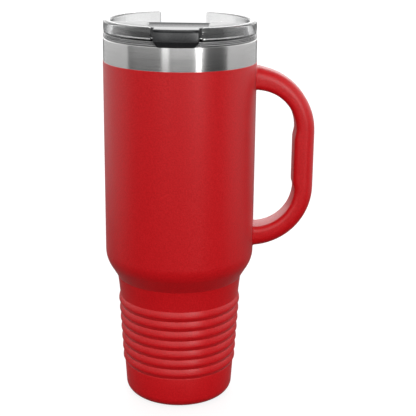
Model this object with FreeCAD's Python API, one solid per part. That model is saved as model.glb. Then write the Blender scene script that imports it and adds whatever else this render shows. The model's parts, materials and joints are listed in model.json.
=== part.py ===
import FreeCAD, Part
import math
import os

# Insulated travel mug with a welded handle and a clear push-in lid that carries a flip-up drinking flap.
# Millimetres, +Z up. Origin: centre of the base, on the surface it stands on.
# The handle points along +X and the drinking flap's lift tab along -Y.

V = FreeCAD.Vector

# ---- driving dimensions: cup ----
BODY_R = 49.25          # outside radius of the coated body
MOUTH_Z = 243.5         # top of the steel lip
COAT_TOP_Z = 228.6      # where the powder coat ends and the bare steel band begins
COAT = 0.25             # powder coat thickness
WALL = 0.5              # sheet thickness of both steel walls
VACUUM_GAP = 3.0        # evacuated space between the walls
MOUTH_R = 46.2          # inside radius of the mouth, where the lid plugs in
MOUTH_DEPTH = 13.0      # height of the wider mouth
LIP_ROUND = 0.7         # rounding of the lip's two edges
LIP_WELD = 4.0          # height over which the two walls are joined under the lip
WELD_SLOPE = 1.5        # height over which the inner wall leaves the outer one below that

# ---- driving dimensions: shoulder, neck and ribs ----
CREASE_R, CREASE_Z = 41.6, 84.8        # sharp crease under the shoulder cone
CONE_SLOPE = 0.6                       # radius gained per unit of height on the cone
SHOULDER_ROUND = 20.0                  # radius that blends body into cone
RIB_COUNT = 7
RIB_PITCH = 6.95
GROOVE_R, GROOVE_Z = 40.07, 70.8       # first groove
GROOVE_TAPER = 0.0617                  # radius lost per unit of depth down the ribbed neck
RIB_HEIGHT = 1.15
RIB_FACE = 4.0                         # height over which a rib swells out below its groove
RIB_CREST = 0.8                        # height of the rounding between a rib's face and its underside
FACE_BULGE, CREST_BULGE = 0.66, 0.955  # shares of the rib's height halfway along its face and its crest
UNDERSIDE_START = 0.84                 # share of the rib's height where its straight underside begins
BASE_R, BASE_ROUND = 36.3, 7.1         # lowest straight radius and bottom corner radius
COAT_END, FOOT_END, INNER_END = -62, -90, -78   # where each surface stops round the bottom corner, in degrees

# ---- driving dimensions: base ----
FOOT_R = 27.5           # inside radius of the foot ring
PLATE_LIFT = 2.0        # how far the base plate's middle is recessed
PLATE_FLANGE, PLATE_FLANGE_Z = 3.5, 0.4   # width and height of the plate's rim inside the foot ring
PLATE_STEP = 1.5        # width of the slope up to the plate's middle
PORT_R = 1.5            # evacuation hole
BEAD_R, BEAD_RISE = 2.6, 1.0
COVER_R, COVER_THICK, COVER_EDGE = 10.0, 0.8, 0.6
GETTER_R, GETTER_THICK, GETTER_X = 4.5, 1.6, 13.0
LINER_FLOOR_Z = 9.0     # inside floor of the cup
LINER_CORNER = 9.0      # inside corner radius of the liner's floor

# ---- driving dimensions: handle ----
HANDLE_REACH = 87.6                    # axis to the outer face of the grip
HANDLE_WIDTH = 21.0
HANDLE_TOP_Z, HANDLE_TOP_ROUND = 226.8, 42.0
HANDLE_LOW_Z, HANDLE_LOW_ROUND = 105.5, 41.0
GRIP_DEPTH = 13.3                      # the grip swells towards the fingers
ARM_DEPTH = 12.3                       # depth where the arms meet the grip
SWELL_TOP, SWELL_LOW = 6.5, 4.0        # heights over which the swell fades out
OPENING_TOP_Z, OPENING_LOW_Z = 211.5, 119.3
OPENING_TOP_ROUND, OPENING_LOW_ROUND = 26.0, 26.0
ARM_TOP_SLOPE, ARM_UNDER_SLOPE = 16.0, 8.0   # fall of the upper arm's two faces, in degrees
OUTER_EDGE, INNER_EDGE = 6.4, 3.6      # rounding of the outward and the finger-side edges
OUTER_SPANS = 4         # the outline's first spans, which face outwards
HANDLE_WALL = 1.0
HANDLE_ROOT = 4.0                      # how far the untrimmed arms run inside the body radius

# ---- driving dimensions: lid ----
LID_TURN = -2.9         # the lid sits turned by this angle in the mouth, in degrees
LID_TOP_Z = 254.6
SEAT_GAP = 0.1          # lid flange above the steel lip
FLANGE_R, FLANGE_THICK = 48.9, 2.8
RIM_R = 48.5            # outside radius of the raised rim
RIM_INNER_R = 43.9
RIM_ROUND = 1.6
RIM_BULGE, RIM_WIDEST = 0.25, 4.0      # the rim's outside is crowned, widest this far below its top
RIM_DRAFT, RIM_FOOT = 0.1, 0.4         # how far its foot draws in, and the foot's height above the flange
DECK_Z = 246.6          # top of the sunken deck
DECK_THICK = 2.2
SKIRT_R, SKIRT_WALL, SKIRT_LOW_Z = 44.9, 1.8, 233.5
SKIRT_CHAMFER = 0.8
GASKET_Z, GASKET_HEIGHT, GASKET_GROOVE = 236.4, 4.2, 0.9
GASKET_PROUD, FIN_CLEAR = 0.2, 0.25    # band beyond the skirt, and fins short of the steel
FIN_PLACES = (0.7, 2.5)                # height of each fin above the gasket's foot
FIN_ROOT, FIN_RISE, FIN_TIP = 1.0, 0.5, 0.4
NOTCH_HALF = 15.3       # half width of the front and back notches
NOTCH_ROUND = 1.5
SLOT_HALF, SLOT_WIDE, SLOT_Y = 12.0, 8.4, -34.0
VENT_R, VENT_Y = 2.2, -22.0
CUT = 1.0               # how far a cutting tool passes a surface

# ---- driving dimensions: flap ----
HINGE_Y, HINGE_Z = -9.0, 250.5
HINGE_BACK = 1.0        # the flap's plate ends this far in front of the hinge line
FLAP_R = 43.5
FLAP_TOP_Z = 254.0
FLAP_PLATE = 2.2
SKIRT_EDGE = 1.8        # thickness of the flap's downturned edge
FLAP_EDGE_Z = 248.0
BARREL_R, WEB_LAP, WEB_SHORT = 3.0, 0.4, 0.5   # hinge barrel, and the web that joins it to the plate
CHANNEL_HALF, CHANNEL_DEEP, CHANNEL_FRONT = 18.5, 1.0, 5.0
TAB_HALF = 13.6
TAB_INNER_R, TAB_OUTER_R = 49.5, 51.8
TAB_LOW_Z, TAB_NECK, NECK_LAP = 243.2, 4.0, 4.0
TAB_CORNER = 3.0
BARREL_HALF = 41.5
PIN_R, PIN_INNER_X, PIN_OUTER_X = 1.0, 36.5, 45.3
PIN_PLAY, BORE_DEEPER = 0.05, 0.3
SEAL_PLAY = 0.4         # plug to opening, all round
SEAL_LIP, VENT_LIP = 1.4, 1.2          # how far each plug's lip overlaps the deck
SEAL_DEEP, STEM_DEEP = 1.4, 1.0        # how far each plug reaches into the deck
SEAL_REST, SEAL_THICK = 0.15, 1.15     # the lips' height above the deck, and their thickness
FAR = 60.0              # beyond every part of the lid, for cutting tools


def traced(start, steps):
    """Edges in the XZ plane. A step is an end point, or a pair (point on the arc, end point)."""
    edges, here = [], V(start[0], 0, start[1])
    for step in steps:
        if isinstance(step[0], tuple):
            through, end = (V(r, 0, z) for r, z in step)
            edges.append(Part.Arc(here, through, end).toShape())
        else:
            end = V(step[0], 0, step[1])
            edges.append(Part.makeLine(here, end))
        here = end
    return edges


def profile(start, steps):
    return Part.Face(Part.Wire(traced(start, steps + [start])))


def turned(start, steps):
    """Solid of revolution about the axis of the mug."""
    return profile(start, steps).revolve(V(0, 0, 0), V(0, 0, 1), 360)


def reversed_path(start, steps):
    """The same outline walked from its far end."""
    points = [start] + [s[1] if isinstance(s[0], tuple) else s for s in steps]
    back = []
    for index in range(len(steps) - 1, -1, -1):
        step = steps[index]
        back.append((step[0], points[index]) if isinstance(step[0], tuple) else points[index])
    return points[-1], back


def corner_arc(centre, radius, start_deg, end_deg):
    """Arc step (through, end) about a centre; angles from +r towards +z."""
    middle = math.radians((start_deg + end_deg) / 2)
    end = math.radians(end_deg)
    return ((centre[0] + radius * math.cos(middle), centre[1] + radius * math.sin(middle)),
            (centre[0] + radius * math.cos(end), centre[1] + radius * math.sin(end)))


def ease(start, end):
    """Two arc steps from start to end, upright at both ends."""
    side, rise = end[0] - start[0], end[1] - start[1]
    radius = (side ** 2 + rise ** 2) / (4 * abs(side))
    quarter = math.asin(abs(rise) / 2 / radius) / 2
    out = math.copysign(radius * (1 - math.cos(quarter)), side)
    along = math.copysign(radius * math.sin(quarter), rise)
    middle = ((start[0] + end[0]) / 2, (start[1] + end[1]) / 2)
    return [((start[0] + out, start[1] + along), middle), ((end[0] - out, end[1] - along), end)]


def box(x0, x1, y0, y1, z0, z1):
    return Part.makeBox(x1 - x0, y1 - y0, z1 - z0, V(x0, y0, z0))


def cylinder_z(radius, z0, z1, x=0.0, y=0.0):
    return Part.makeCylinder(radius, z1 - z0, V(x, y, z0), V(0, 0, 1))


def cylinder_x(radius, x0, x1, y, z):
    return Part.makeCylinder(radius, x1 - x0, V(x0, y, z), V(1, 0, 0))


def stadium(half_length, width, y, z0, z1):
    """Upright slot shape: long along X, with round ends."""
    end_x = half_length - width / 2
    middle = box(-end_x, end_x, y - width / 2, y + width / 2, z0, z1)
    ends = [cylinder_z(width / 2, z0, z1, x, y) for x in (-end_x, end_x)]
    return middle.fuse(ends).removeSplitter()


# ---- outside of the cup, shared by coat and shell ----
def shoulder_steps(grow):
    angle = math.atan(CONE_SLOPE)
    corner_z = CREASE_Z + (BODY_R - CREASE_R) / CONE_SLOPE
    tangent = SHOULDER_ROUND * math.tan(angle / 2)
    radius = BODY_R + grow
    centre = (BODY_R - SHOULDER_ROUND, corner_z + tangent)
    through, end = corner_arc(centre, SHOULDER_ROUND, 0, -math.degrees(angle))
    return [(radius, corner_z + tangent),
            ((through[0] + grow, through[1]), (end[0] + grow, end[1])),
            (CREASE_R + grow, CREASE_Z)]


def rib_steps(index, grow):
    """One rib, groove to groove: a face that swells out, a round crest and a slanted underside."""
    top = GROOVE_Z - index * RIB_PITCH

    def point(depth, share):
        taper = GROOVE_TAPER * (index * RIB_PITCH + depth)
        return (GROOVE_R - taper + share * RIB_HEIGHT + grow, top - depth)

    return [(point(RIB_FACE / 2, FACE_BULGE), point(RIB_FACE, 1.0)),
            (point(RIB_FACE + RIB_CREST / 2, CREST_BULGE), point(RIB_FACE + RIB_CREST, UNDERSIDE_START)),
            point(RIB_PITCH, 0.0)]


def cup_outline(grow, top_z, low_deg):
    """Outside of the cup from top_z down to low_deg round the bottom corner, moved out by grow."""
    start = (BODY_R + grow, top_z)
    steps = shoulder_steps(grow) + [(GROOVE_R + grow, GROOVE_Z)]
    for index in range(RIB_COUNT):
        steps += rib_steps(index, grow)
    steps.append((BASE_R + grow, BASE_ROUND))
    through, end = corner_arc((BASE_R - BASE_ROUND, BASE_ROUND), BASE_ROUND, 0, low_deg)
    steps.append(((through[0] + grow, through[1]), (end[0] + grow, end[1])))
    return start, steps


# ---- cup pieces ----
def powder_coat():
    outer_start, outer = cup_outline(0, COAT_TOP_Z, COAT_END)
    inner_start, inner = cup_outline(-COAT, COAT_TOP_Z, COAT_END)
    low, back = reversed_path(inner_start, inner)
    return turned(outer_start, outer + [low] + back)


def outer_shell():
    shell_r = BODY_R - COAT
    _, outer = cup_outline(-COAT, MOUTH_Z - LIP_ROUND, FOOT_END)
    inner_start, inner = cup_outline(-COAT - WALL, MOUTH_Z, INNER_END)
    low, back = reversed_path(inner_start, inner)
    lip = corner_arc((shell_r - LIP_ROUND, MOUTH_Z - LIP_ROUND), LIP_ROUND, 90, 0)
    foot = [(FOOT_R, 0.0), (FOOT_R, low[1]), low]
    return turned((shell_r - LIP_ROUND, MOUTH_Z), [lip] + outer + foot + back)


def liner_steps(grow):
    """Inside of the cup from the mouth down to the axis, moved out by grow."""
    inset = COAT + WALL + VACUUM_GAP + WALL - grow
    body_r, crease_r, base_r = BODY_R - inset, CREASE_R - inset, BASE_R - inset
    floor_z = LINER_FLOOR_Z - grow
    corner = LINER_CORNER + grow
    throat_z = MOUTH_Z - MOUTH_DEPTH
    shoulder_z = CREASE_Z + (BODY_R - CREASE_R) / CONE_SLOPE
    centre = (base_r - corner, floor_z + corner)
    return [(MOUTH_R + grow, throat_z),
            (body_r, throat_z - 2 * (MOUTH_R - body_r + grow)),
            (body_r, shoulder_z),
            (crease_r, CREASE_Z),
            (base_r, floor_z + corner),
            corner_arc(centre, corner, 0, -90),
            (0.0, floor_z)]


def inner_vessel():
    shell_inner_r = BODY_R - COAT - WALL
    weld_z = MOUTH_Z - LIP_WELD
    outer_start = (shell_inner_r, weld_z)
    outer = [(MOUTH_R + WALL, weld_z - WELD_SLOPE)] + liner_steps(WALL)
    low, back = reversed_path((MOUTH_R, MOUTH_Z - LIP_ROUND), liner_steps(0))
    lip = corner_arc((MOUTH_R + LIP_ROUND, MOUTH_Z - LIP_ROUND), LIP_ROUND, 180, 90)
    return turned(outer_start, outer + [low] + back + [lip, (shell_inner_r, MOUTH_Z)])


def base_plate():
    """Recessed disc that closes the vacuum space, with its evacuation hole in the middle."""
    step_r, top, rim_top = FOOT_R - PLATE_FLANGE, PLATE_LIFT + WALL, PLATE_FLANGE_Z + WALL
    return turned((FOOT_R, PLATE_FLANGE_Z),
                  [(step_r, PLATE_FLANGE_Z), (step_r - PLATE_STEP, PLATE_LIFT), (PORT_R, PLATE_LIFT),
                   (PORT_R, top), (step_r - PLATE_STEP, top), (step_r + PLATE_FLANGE_Z, rim_top),
                   (FOOT_R, rim_top)])


def vacuum_seal():
    """Bead of solder glass melted into the evacuation hole."""
    top = PLATE_LIFT + WALL
    return turned((0.0, PLATE_LIFT),
                  [(PORT_R, PLATE_LIFT), (PORT_R, top), (BEAD_R, top),
                   corner_arc((BEAD_R - BEAD_RISE, top), BEAD_RISE, 0, 90), (0.0, top + BEAD_RISE)])


def port_cover():
    """Thin steel disc spot-welded over the sealed hole."""
    low = PLATE_LIFT - COVER_THICK
    return turned((0.0, low), [(COVER_R - COVER_EDGE, low), (COVER_R, low + COVER_EDGE),
                               (COVER_R, PLATE_LIFT), (0.0, PLATE_LIFT)])


def vacuum_getter():
    """Gas-absorbing tablet that keeps the vacuum, standing on the base plate inside."""
    top = PLATE_LIFT + WALL
    return cylinder_z(GETTER_R, top, top + GETTER_THICK, GETTER_X, 0.0)


# ---- handle ----
def sloped_arc(root_r, root_z, reach, radius, slope, inset):
    """Upper arm face: straight fall from the root, then an arc that ends upright at reach."""
    angle = math.radians(slope)
    centre_r = reach - radius
    touch = (centre_r + radius * math.sin(angle), root_z - (centre_r + radius * math.sin(angle) - root_r)
             * math.tan(angle))
    centre = (centre_r, touch[1] - radius * math.cos(angle))
    shrunk = radius - inset
    first = (centre[0] + shrunk * math.sin(angle), centre[1] + shrunk * math.cos(angle))
    root = (root_r, first[1] + (first[0] - root_r) * math.tan(angle))
    return centre, shrunk, root, first


def long_edges(solid, marks, half):
    """Edges of the two flat sides that lie over the given points of the outline."""
    found = []
    for edge in solid.Edges:
        middle = edge.CenterOfMass
        flat = V(middle.x, 0, middle.z)
        if abs(abs(middle.y) - half) < 1e-4 and any(flat.distanceToPoint(mark) < 1e-3 for mark in marks):
            found.append(edge)
    return found


def handle_body(inset):
    """The closed D of the handle, its section shrunk by inset all round."""
    grip, gap_r = HANDLE_REACH - GRIP_DEPTH, HANDLE_REACH - ARM_DEPTH
    half = HANDLE_WIDTH / 2 - inset
    root = BODY_R - HANDLE_ROOT
    top_c, top_r, top_root, top_touch = sloped_arc(
        root, HANDLE_TOP_Z, HANDLE_REACH, HANDLE_TOP_ROUND, ARM_TOP_SLOPE, inset)
    gap_c, gap_round, gap_root, gap_touch = sloped_arc(
        root, OPENING_TOP_Z, gap_r, OPENING_TOP_ROUND, ARM_UNDER_SLOPE, -inset)
    low_c = (HANDLE_REACH - HANDLE_LOW_ROUND, HANDLE_LOW_Z + HANDLE_LOW_ROUND)
    low_r = HANDLE_LOW_ROUND - inset
    in_low_c = (gap_r - OPENING_LOW_ROUND, OPENING_LOW_Z + OPENING_LOW_ROUND)
    in_low_r = OPENING_LOW_ROUND + inset
    low_deg = -90 - math.degrees(math.asin((low_c[0] - root) / low_r))

    steps = [top_touch,
             corner_arc(top_c, top_r, 90 - ARM_TOP_SLOPE, 0),
             (HANDLE_REACH - inset, low_c[1]),
             corner_arc(low_c, low_r, 0, low_deg),
             (root, in_low_c[1] - in_low_r),
             (in_low_c[0], in_low_c[1] - in_low_r),
             corner_arc(in_low_c, in_low_r, -90, 0),
             *ease((gap_r + inset, in_low_c[1]), (grip + inset, in_low_c[1] + SWELL_LOW)),
             (grip + inset, gap_c[1] - SWELL_TOP),
             *ease((grip + inset, gap_c[1] - SWELL_TOP), (gap_r + inset, gap_c[1])),
             corner_arc(gap_c, gap_round, 0, 90 - ARM_UNDER_SLOPE),
             gap_root]
    face = profile(top_root, steps)
    face.translate(V(0, -half, 0))
    solid = face.extrude(V(0, 2 * half, 0))
    marks = [edge.CenterOfMass for edge in traced(top_root, steps)]
    outward = long_edges(solid, marks[:OUTER_SPANS], half)
    solid = solid.makeFillet(OUTER_EDGE - inset, outward)
    finger_side = long_edges(solid, marks[OUTER_SPANS + 1:], half)
    return solid.makeFillet(INNER_EDGE - inset, finger_side)


def handle_half(side):
    """One pressed half of the hollow handle; side is +1 or -1 along Y."""
    hollow = handle_body(0).cut(handle_body(HANDLE_WALL))
    clear_of_cup = hollow.cut(cylinder_z(BODY_R, 0, MOUTH_Z))
    y0, y1 = sorted((0.0, side * HANDLE_WIDTH))
    return clear_of_cup.common(box(0, 2 * HANDLE_REACH, y0, y1, 0, MOUTH_Z))


# ---- lid ----
def lid_blank():
    seat = MOUTH_Z + SEAT_GAP
    flange_top = seat + FLANGE_THICK
    skirt_in = SKIRT_R - SKIRT_WALL
    groove_r = SKIRT_R - GASKET_GROOVE
    gasket_top = GASKET_Z + GASKET_HEIGHT
    widest_z = LID_TOP_Z - RIM_WIDEST
    return turned((0.0, DECK_Z),
                  [(RIM_INNER_R, DECK_Z),
                   (RIM_INNER_R, LID_TOP_Z - RIM_ROUND),
                   corner_arc((RIM_INNER_R + RIM_ROUND, LID_TOP_Z - RIM_ROUND), RIM_ROUND, 180, 90),
                   (RIM_R - RIM_ROUND, LID_TOP_Z),
                   corner_arc((RIM_R - RIM_ROUND, LID_TOP_Z - RIM_ROUND), RIM_ROUND, 90, 0),
                   ((RIM_R + RIM_BULGE, widest_z), (RIM_R - RIM_DRAFT, flange_top + RIM_FOOT)),
                   (FLANGE_R, flange_top),
                   (FLANGE_R, seat),
                   (SKIRT_R, seat),
                   (SKIRT_R, gasket_top), (groove_r, gasket_top),
                   (groove_r, GASKET_Z), (SKIRT_R, GASKET_Z),
                   (SKIRT_R, SKIRT_LOW_Z + SKIRT_CHAMFER),
                   (SKIRT_R - SKIRT_CHAMFER, SKIRT_LOW_Z),
                   (skirt_in, SKIRT_LOW_Z),
                   (skirt_in, DECK_Z - DECK_THICK),
                   (0.0, DECK_Z - DECK_THICK)])


def notch_tool(side):
    """Cuts one rim notch with rounded shoulders; side is -1 for the front and +1 for the back."""
    above = LID_TOP_Z + CUT
    wide = NOTCH_HALF + NOTCH_ROUND
    shoulder_z = LID_TOP_Z - NOTCH_ROUND
    steps = [(NOTCH_HALF, DECK_Z), (NOTCH_HALF, shoulder_z),
             corner_arc((wide, shoulder_z), NOTCH_ROUND, 180, 90),
             (wide, above), (-wide, above), (-wide, LID_TOP_Z),
             corner_arc((-wide, shoulder_z), NOTCH_ROUND, 90, 0)]
    face = profile((-NOTCH_HALF, DECK_Z), steps)
    y0, y1 = sorted((side * RIM_INNER_R * math.cos(math.asin(wide / RIM_INNER_R)) - side * CUT, side * FAR))
    face.translate(V(0, y0, 0))
    return face.extrude(V(0, y1 - y0, 0))


def lid_body():
    lid = lid_blank().cut([notch_tool(-1), notch_tool(1)])
    below, above = DECK_Z - DECK_THICK - CUT, DECK_Z + CUT
    slot = stadium(SLOT_HALF, SLOT_WIDE, SLOT_Y, below, above)
    vent = cylinder_z(VENT_R, below, above, 0.0, VENT_Y)
    bore_r, bore_end = PIN_R + PIN_PLAY, PIN_OUTER_X + BORE_DEEPER
    bores = [cylinder_x(bore_r, -bore_end, -BARREL_HALF, HINGE_Y, HINGE_Z),
             cylinder_x(bore_r, BARREL_HALF, bore_end, HINGE_Y, HINGE_Z)]
    return lid.cut([slot, vent] + bores)


def lid_gasket():
    """Silicone ring in the skirt's groove with two sealing fins, at its size inside the mouth."""
    root_r, band_r, fin_r = SKIRT_R - GASKET_GROOVE, SKIRT_R + GASKET_PROUD, MOUTH_R - FIN_CLEAR
    top = GASKET_Z + GASKET_HEIGHT
    steps = [(band_r, GASKET_Z)]
    for place in FIN_PLACES:
        fin_z = GASKET_Z + place
        steps += [(band_r, fin_z), (fin_r, fin_z + FIN_RISE), (fin_r, fin_z + FIN_RISE + FIN_TIP),
                  (band_r, fin_z + FIN_ROOT)]
    return turned((root_r, GASKET_Z), steps + [(band_r, top), (root_r, top)])


# ---- flap ----
def front_part(shape):
    """Keeps what lies in front of the hinge line."""
    return shape.common(box(-FAR, FAR, -FAR, HINGE_Y - HINGE_BACK, 0, LID_TOP_Z))


def tab():
    """Lift tab: a neck through the front notch and a plate that hangs outside the rim."""
    ring = cylinder_z(TAB_OUTER_R, TAB_LOW_Z, FLAP_TOP_Z).cut(cylinder_z(TAB_INNER_R, 0, LID_TOP_Z))
    face = profile((-TAB_HALF, FLAP_TOP_Z),
                   [(TAB_HALF, FLAP_TOP_Z), (TAB_HALF, TAB_LOW_Z + TAB_CORNER / 2),
                    (TAB_HALF - TAB_CORNER, TAB_LOW_Z), (-TAB_HALF + TAB_CORNER, TAB_LOW_Z),
                    (-TAB_HALF, TAB_LOW_Z + TAB_CORNER / 2)])
    face.translate(V(0, -FAR, 0))
    plate = ring.common(face.extrude(V(0, FAR, 0)))
    neck = box(-TAB_HALF, TAB_HALF, -FAR, -FLAP_R + NECK_LAP, FLAP_TOP_Z - TAB_NECK, FLAP_TOP_Z)
    return plate.fuse(neck.common(cylinder_z(TAB_OUTER_R, 0, LID_TOP_Z)))


def flap():
    plate = front_part(cylinder_z(FLAP_R, FLAP_TOP_Z - FLAP_PLATE, FLAP_TOP_Z))
    edge_ring = cylinder_z(FLAP_R, FLAP_EDGE_Z, FLAP_TOP_Z).cut(
        cylinder_z(FLAP_R - SKIRT_EDGE, 0, FLAP_TOP_Z + CUT))
    barrel = cylinder_x(BARREL_R, -BARREL_HALF, BARREL_HALF, HINGE_Y, HINGE_Z)
    web_half, web_y = BARREL_HALF - WEB_SHORT, HINGE_Y - BARREL_R + WEB_LAP
    web = box(-web_half, web_half, web_y, HINGE_Y - HINGE_BACK, HINGE_Z, FLAP_TOP_Z - FLAP_PLATE / 2)
    body = plate.fuse([front_part(edge_ring), barrel, web, tab()])
    channel = box(-CHANNEL_HALF, CHANNEL_HALF, -FLAP_R + CHANNEL_FRONT, HINGE_Y + BARREL_R,
                  FLAP_TOP_Z - CHANNEL_DEEP, FLAP_TOP_Z + CUT)
    pin_holes = [cylinder_x(PIN_R, -FAR, -PIN_INNER_X, HINGE_Y, HINGE_Z),
                 cylinder_x(PIN_R, PIN_INNER_X, FAR, HINGE_Y, HINGE_Z)]
    return body.cut([channel] + pin_holes).removeSplitter()


def hinge_pins():
    return Part.makeCompound([cylinder_x(PIN_R, -PIN_OUTER_X, -PIN_INNER_X, HINGE_Y, HINGE_Z),
                              cylinder_x(PIN_R, PIN_INNER_X, PIN_OUTER_X, HINGE_Y, HINGE_Z)])


def drink_seal():
    """Silicone plug under the flap: a tongue in the drinking slot and a lip that covers its edge."""
    underside, rest = FLAP_TOP_Z - FLAP_PLATE, DECK_Z + SEAL_REST
    tongue = stadium(SLOT_HALF - SEAL_PLAY, SLOT_WIDE - 2 * SEAL_PLAY, SLOT_Y, DECK_Z - SEAL_DEEP, underside)
    lip = stadium(SLOT_HALF + SEAL_LIP, SLOT_WIDE + 2 * SEAL_LIP, SLOT_Y, rest, rest + SEAL_THICK)
    return tongue.fuse(lip).removeSplitter()


def vent_seal():
    """Small silicone nub that closes the vent hole together with the drinking slot."""
    underside, rest = FLAP_TOP_Z - FLAP_PLATE, DECK_Z + SEAL_REST
    stem = cylinder_z(VENT_R - SEAL_PLAY, DECK_Z - STEM_DEEP, underside, 0.0, VENT_Y)
    lip = cylinder_z(VENT_R + VENT_LIP, rest, rest + SEAL_THICK, 0.0, VENT_Y)
    return stem.fuse(lip).removeSplitter()


def in_lid(make):
    """Turns a lid piece to the angle at which the lid sits in the mouth."""
    shape = make()
    shape.rotate(V(0, 0, 0), V(0, 0, 1), LID_TURN)
    return shape


CUP_PIECES = {
    "inner_vessel": inner_vessel,
    "outer_shell": outer_shell,
    "powder_coat": powder_coat,
    "base_plate": base_plate,
    "vacuum_seal": vacuum_seal,
    "port_cover": port_cover,
    "vacuum_getter": vacuum_getter,
    "handle_left_half": lambda: handle_half(1),
    "handle_right_half": lambda: handle_half(-1),
}
LID_PIECES = {
    "lid_body": lid_body,
    "lid_gasket": lid_gasket,
    "flap": flap,
    "hinge_pins": hinge_pins,
    "drink_seal": drink_seal,
    "vent_seal": vent_seal,
}

os.makedirs("parts", exist_ok=True)
shapes = {name: make() for name, make in CUP_PIECES.items()}
shapes.update({name: in_lid(make) for name, make in LID_PIECES.items()})
for name, shape in shapes.items():
    shape.exportStep("parts/" + name + ".step")
    volume = round(shape.Volume / 1000, 2)
    print(name, "solids", len(shape.Solids), "valid", shape.isValid(), "volume_cm3", volume)
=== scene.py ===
import json
import math

import bmesh
import bpy
from mathutils import Matrix, Vector


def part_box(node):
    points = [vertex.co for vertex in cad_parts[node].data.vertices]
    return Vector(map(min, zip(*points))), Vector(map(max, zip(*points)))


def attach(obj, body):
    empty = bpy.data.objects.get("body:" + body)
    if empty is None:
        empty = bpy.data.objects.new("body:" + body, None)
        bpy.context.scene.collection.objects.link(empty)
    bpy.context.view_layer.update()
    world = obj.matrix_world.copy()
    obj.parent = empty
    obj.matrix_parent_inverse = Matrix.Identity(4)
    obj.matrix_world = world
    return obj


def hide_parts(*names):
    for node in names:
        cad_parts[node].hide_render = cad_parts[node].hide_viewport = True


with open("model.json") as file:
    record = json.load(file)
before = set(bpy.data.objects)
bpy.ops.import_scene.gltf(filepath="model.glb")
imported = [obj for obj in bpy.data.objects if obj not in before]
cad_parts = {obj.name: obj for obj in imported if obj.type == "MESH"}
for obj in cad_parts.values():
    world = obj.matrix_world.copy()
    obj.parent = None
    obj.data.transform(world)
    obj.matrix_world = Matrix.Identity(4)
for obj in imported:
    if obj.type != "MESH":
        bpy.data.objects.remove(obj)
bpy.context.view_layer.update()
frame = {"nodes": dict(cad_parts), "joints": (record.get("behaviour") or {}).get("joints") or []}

# Looks for the insulated travel mug: coat, steel, handle, clear lid and flap are rebuilt as fine meshes
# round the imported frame; the small inner pieces keep their CAD meshes and get their own materials.

MM = 0.001
SEGMENTS = 288

# ---- places and sizes read from the frame ----
coat_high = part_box("powder_coat")[1]
shell_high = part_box("outer_shell")[1]
lid_low, lid_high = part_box("lid_body")
flap_low, flap_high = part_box("flap")
handle_low, handle_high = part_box("handle_left_half")
gasket_low, gasket_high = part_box("lid_gasket")
hinge = next(joint for joint in frame["joints"] if joint["name"] == "flap_hinge")

BODY_R = coat_high.y
SHELL_R = shell_high.y
COAT_TOP = coat_high.z
MOUTH_Z = shell_high.z
LID_TOP = lid_high.z
LID_LOW = lid_low.z
FLAP_TOP = flap_high.z
TAB_LOW = flap_low.z
REACH = handle_high.x
HANDLE_HALF = handle_high.y
LID_TURN = math.atan2(-hinge["axis"][1], -hinge["axis"][0])
HINGE_Y = -math.hypot(hinge["pos_m"][0], hinge["pos_m"][1])
HINGE_Z = hinge["pos_m"][2]

# ---- cup sizes ----
WALL = 0.5 * MM
GAP = 3.0 * MM
COAT = BODY_R - SHELL_R
MOUTH_R = 46.2 * MM
THROAT_Z = MOUTH_Z - 13.0 * MM
CREASE_R, CREASE_Z = 41.6 * MM, 84.8 * MM
CONE_SLOPE = 0.6
SHOULDER_ROUND = 20.0 * MM
RIBS = 7
RIB_PITCH = 6.95 * MM
GROOVE_R, GROOVE_Z = 40.07 * MM, 70.8 * MM
GROOVE_TAPER = 0.0617
RIB_HEIGHT = 1.15 * MM
RIB_FACE = 4.0 * MM
RIB_CREST = 0.8 * MM
UNDERSIDE_START = 0.84
FACE_CURVE, CREST_CURVE = 1.56, 1.83         # how a rib's face swells and its crest falls
NECK_HOLLOW = 0.12 * MM                      # how far the neck hollows between crease and ribs
BASE_R, BASE_ROUND = 36.3 * MM, 7.1 * MM
BASE_STEP, BASE_STEP_DROP = 0.16 * MM, 0.7 * MM
FOOT_R = 27.5 * MM
FLOOR_Z, FLOOR_ROUND = 9.0 * MM, 9.0 * MM
COAT_SKIN, COAT_EDGE = 0.02 * MM, 0.12 * MM  # air behind the coat, and its softened top edge
COAT_END, SHELL_INNER_END = -62, -78         # where the base corner's outlines stop, in degrees
LIP = 0.7 * MM
LIP_WELD, THROAT_WELD = 4.0 * MM, 5.5 * MM   # depths below the mouth where the liner meets the shell
PLATE_FLANGE, PLATE_FLANGE_Z, PLATE_LIFT, PORT_R = 3.5 * MM, 0.4 * MM, 2.0 * MM, 1.5 * MM

# ---- handle sizes ----
TOP_ROUND, TOP_SLOPE, TOP_ROOT_Z = 42.0 * MM, math.radians(16.0), 226.8 * MM
LOW_ROUND, LOW_Z = 41.0 * MM, handle_low.z
GAP_ROUND, GAP_SLOPE, GAP_ROOT_Z = 26.0 * MM, math.radians(8.0), 211.5 * MM
GAP_LOW_ROUND, GAP_LOW_Z = 26.0 * MM, 119.3 * MM
ARM_DEPTH, GRIP_DEPTH = 12.3 * MM, 13.3 * MM
SWELL_TOP, SWELL_LOW = 6.5 * MM, 4.0 * MM
ROOT_IN = 4.0 * MM
OUTER_EDGE, INNER_EDGE = 6.4 * MM, 3.6 * MM
WELD, WELD_FULLNESS = 1.2 * MM, 0.8
TRIM_IN, TRIM_OUT = 0.1 * MM, 0.15 * MM      # where the arms end in the wall, and where they are cut
LANDINGS = (1.0, 0.75, 0.5, 0.3, 0.15, 0.05)

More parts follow.
